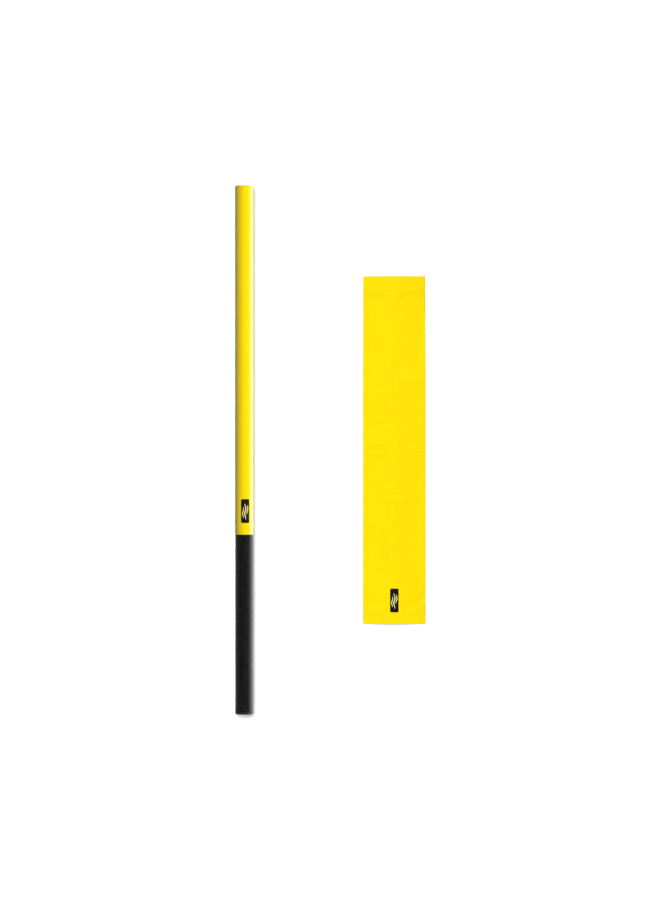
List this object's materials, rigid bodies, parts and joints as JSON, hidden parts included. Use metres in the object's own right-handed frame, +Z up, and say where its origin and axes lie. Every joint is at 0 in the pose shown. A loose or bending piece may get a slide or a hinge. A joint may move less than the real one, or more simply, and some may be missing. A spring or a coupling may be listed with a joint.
{
  "type": "windsock with telescopic pole",
  "caption": "Collapsed telescopic pole with rubber grip, screw butt cap and swivel tip, and its windsock, a plain cloth sleeve, lying flat beside it.",
  "frame": {"origin": "on the ground under the middle of the whole layout, pole and windsock together", "axes": "+Z up, +Y along the pole from its butt cap towards its mouth, +X from the pole towards the windsock"},
  "size_m": [0.4156, 1.15, 0.0406],
  "materials": {
    "jacket": "gloss",
    "glass_fibre": "satin",
    "grip_rubber": "matte",
    "soft_rubber": "matte",
    "cap_plastic": "satin",
    "bush_plastic": "satin",
    "alloy": "satin",
    "steel": "satin",
    "label_film": "satin",
    "sock_cloth": "matte",
    "hoop_plastic": "satin",
    "webbing": "matte"
  },
  "bodies": {
    "pole_base": {"base_tube": "glass_fibre", "base_jacket": "jacket", "grip_sleeve": "grip_rubber", "pole_label": "label_film", "base_bush": "bush_plastic", "butt_ferrule": "alloy"},
    "cap_seal": {"butt_seal": "soft_rubber"},
    "butt_cap": {"butt_cap": "cap_plastic", "cushion_pad": "soft_rubber"},
    "section_2": {"section_2": "glass_fibre", "section_2_stop": "bush_plastic", "section_2_bush": "bush_plastic"},
    "section_3": {"section_3": "glass_fibre", "section_3_stop": "bush_plastic", "section_3_bush": "bush_plastic"},
    "section_4": {"section_4": "glass_fibre", "section_4_stop": "bush_plastic", "section_4_bush": "bush_plastic"},
    "tip_section": {"tip_section": "glass_fibre", "tip_stop": "bush_plastic", "tip_ferrule": "alloy"},
    "swivel": {"swivel_eye": "steel", "swivel_nut": "steel"},
    "mouth_plug": {"mouth_plug": "soft_rubber"},
    "windsock": {"sock_sleeve": "sock_cloth", "mouth_hem": "sock_cloth", "tail_hem": "sock_cloth", "seam_tape": "sock_cloth", "mouth_hoop": "hoop_plastic", "hoop_joiner": "alloy", "bridle_tab_1": "webbing", "bridle_tab_2": "webbing", "bridle_tab_3": "webbing", "sock_label": "label_film"}
  },
  "joints": [
    {"name": "section_2_slide", "type": "slide", "parent": "pole_base", "child": "section_2", "axis": [0, 1, 0], "range_m": [0, 1.0175]},
    {"name": "section_3_slide", "type": "slide", "parent": "section_2", "child": "section_3", "axis": [0, 1, 0], "range_m": [0, 0.9875]},
    {"name": "section_4_slide", "type": "slide", "parent": "section_3", "child": "section_4", "axis": [0, 1, 0], "range_m": [0, 0.9875]},
    {"name": "tip_section_slide", "type": "slide", "parent": "section_4", "child": "tip_section", "axis": [0, 1, 0], "range_m": [0, 0.9875]},
    {"name": "swivel_spin", "type": "hinge", "parent": "tip_section", "child": "swivel", "pos_m": [-0.18776, 0.5301, 0.02], "axis": [0, 1, 0], "continuous": true},
    {"name": "mouth_plug_pull", "type": "slide", "parent": "tip_section", "child": "mouth_plug", "axis": [0, 1, 0], "range_m": [0, 0.12]},
    {"name": "cap_seal_slide", "type": "slide", "parent": "pole_base", "child": "cap_seal", "axis": [0, -1, 0], "range_m": [0, 0.0121]},
    {"name": "cap_turn", "type": "hinge", "parent": "cap_seal", "child": "butt_cap", "pos_m": [-0.18776, -0.575, 0.02], "axis": [0, -1, 0], "range_deg": [0, 2160]},
    {"name": "windsock_lift", "type": "slide", "parent": "pole_base", "child": "windsock", "axis": [0, 0, 1], "range_m": [0, 0.3]}
  ],
  "couplings": [
    {"joint": "cap_seal_slide", "follows": "cap_turn", "m_per_rad": 0.00031831}
  ]
}
